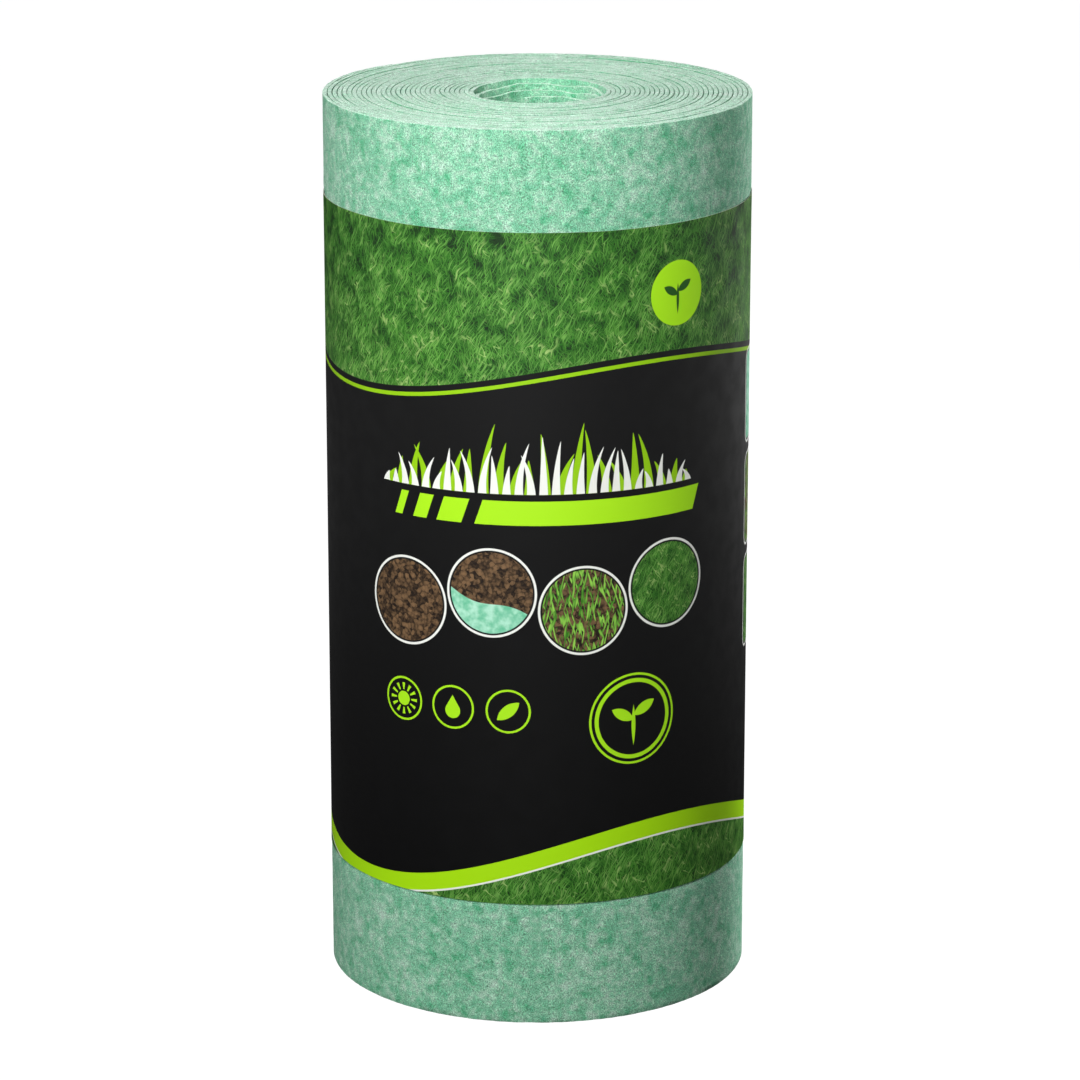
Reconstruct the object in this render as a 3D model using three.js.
// A roll of grass seed mat: one long mat of green fibre wound on itself round an open bore, standing
// on its end, with a printed paper sleeve glued round its middle.
// Millimetres, +Z up, the origin at the centre of the end that it stands on.
import * as THREE from "three";

// The mat
const MAT_WIDTH = 406; // the mat's cut width, which is the roll's height
const MAT_THICKNESS = 2.17; // the pitch of the turns
const TURNS = 33;
const BORE_RADIUS = 24;
const EDGE_STEP = 0.6; // how far every second turn's edge lies back, so that each turn shows
const SLIPPED_TURNS = 3; // the innermost turns, which have slid down into the bore
const SLIP_STEP = 2.9; // how much lower each of them lies than the turn round it
const ROLL_FACETS = 36;

// The sleeve
const BARE_TOP = 44.5; // the mat left uncovered above the sleeve
const BARE_BOTTOM = 56.5; // and below it
const PAPER_THICKNESS = 0.3;
const SLEEVE_CLEARANCE = 0.3; // between the paper and the roll
const LAP_WIDTH = 16; // the glued overlap, measured round the roll
const LAP_RAMP = 4; // the width over which the paper climbs onto its own start
const LAP_DIRECTION = THREE.MathUtils.degToRad(105); // on the far side from the front, which is -Y
const SLEEVE_FACETS = 96;

const MAT_COLOUR = 0x93ccae;
const SLEEVE_COLOUR = 0x16181a;

const rollRadius = BORE_RADIUS + TURNS * MAT_THICKNESS;
const sleeveHeight = MAT_WIDTH - BARE_TOP - BARE_BOTTOM;
const paperRadius = rollRadius + SLEEVE_CLEARANCE;
const lapAngle = LAP_WIDTH / paperRadius;
const rampAngle = LAP_RAMP / paperRadius;
const endAngle = PAPER_THICKNESS / paperRadius; // the cut end of the lap, a step as wide as it is high

// How far a turn's edges lie back from the roll's flat ends: 0 or one step. Turn 0 is the innermost.
function edgeStep(turn) {
  const fromOutside = TURNS - 1 - turn;
  return (fromOutside % 2) * EDGE_STEP;
}

// How far a turn has slid down at the top of the bore.
function slip(turn) {
  return Math.max(0, SLIPPED_TURNS - turn) * SLIP_STEP;
}

// The wound mat as one turned solid. Its outline runs outwards under the turns, up the outside and
// back inwards over the turns, with one flat land for each turn on either end.
function woundMat() {
  const outline = [];
  for (let turn = 0; turn < TURNS; turn++) {
    const inner = BORE_RADIUS + turn * MAT_THICKNESS;
    outline.push(new THREE.Vector2(inner, edgeStep(turn)));
    outline.push(new THREE.Vector2(inner + MAT_THICKNESS, edgeStep(turn)));
  }
  for (let turn = TURNS - 1; turn >= 0; turn--) {
    const inner = BORE_RADIUS + turn * MAT_THICKNESS;
    const height = MAT_WIDTH - edgeStep(turn) - slip(turn);
    outline.push(new THREE.Vector2(inner + MAT_THICKNESS, height));
    outline.push(new THREE.Vector2(inner, height));
  }
  outline.push(outline[0].clone());
  return new THREE.LatheGeometry(outline, ROLL_FACETS).rotateX(Math.PI / 2);
}

// How many sheets of paper lie over each other at an angle past the start of the lap. The paper's
// far end climbs from one sheet to two on its way onto the start.
function sheetsAt(past) {
  if (past <= lapAngle) return 2;
  const beforeLap = 2 * Math.PI - past;
  return 1 + Math.max(0, 1 - beforeLap / rampAngle);
}

// The sleeve as one extruded ring, twice as thick where the paper laps over itself.
function paperSleeve() {
  const plainAngle = 2 * Math.PI - lapAngle - endAngle - rampAngle;
  const angles = [0, lapAngle / 2, lapAngle];
  for (let i = 0; i <= SLEEVE_FACETS; i++) {
    angles.push(lapAngle + endAngle + (plainAngle * i) / SLEEVE_FACETS);
  }
  const outer = angles.map((past) => {
    const radius = paperRadius + PAPER_THICKNESS * sheetsAt(past);
    const angle = LAP_DIRECTION + past;
    return new THREE.Vector2(radius * Math.cos(angle), radius * Math.sin(angle));
  });
  const ring = new THREE.Shape(outer);
  ring.holes.push(new THREE.Path().absarc(0, 0, paperRadius, 0, 2 * Math.PI, true));
  return new THREE.ExtrudeGeometry(ring, {
    depth: sleeveHeight,
    bevelEnabled: false,
    curveSegments: SLEEVE_FACETS,
  });
}

const matRoll = new THREE.Mesh(
  woundMat(),
  new THREE.MeshStandardMaterial({ color: MAT_COLOUR, roughness: 0.95, metalness: 0 }),
);
matRoll.name = "mat_roll";

const sleeve = new THREE.Mesh(
  paperSleeve(),
  new THREE.MeshStandardMaterial({ color: SLEEVE_COLOUR, roughness: 0.4, metalness: 0 }),
);
sleeve.name = "printed_sleeve";
sleeve.position.z = BARE_BOTTOM;

const roll = new THREE.Group();
roll.add(matRoll, sleeve);

export default roll;
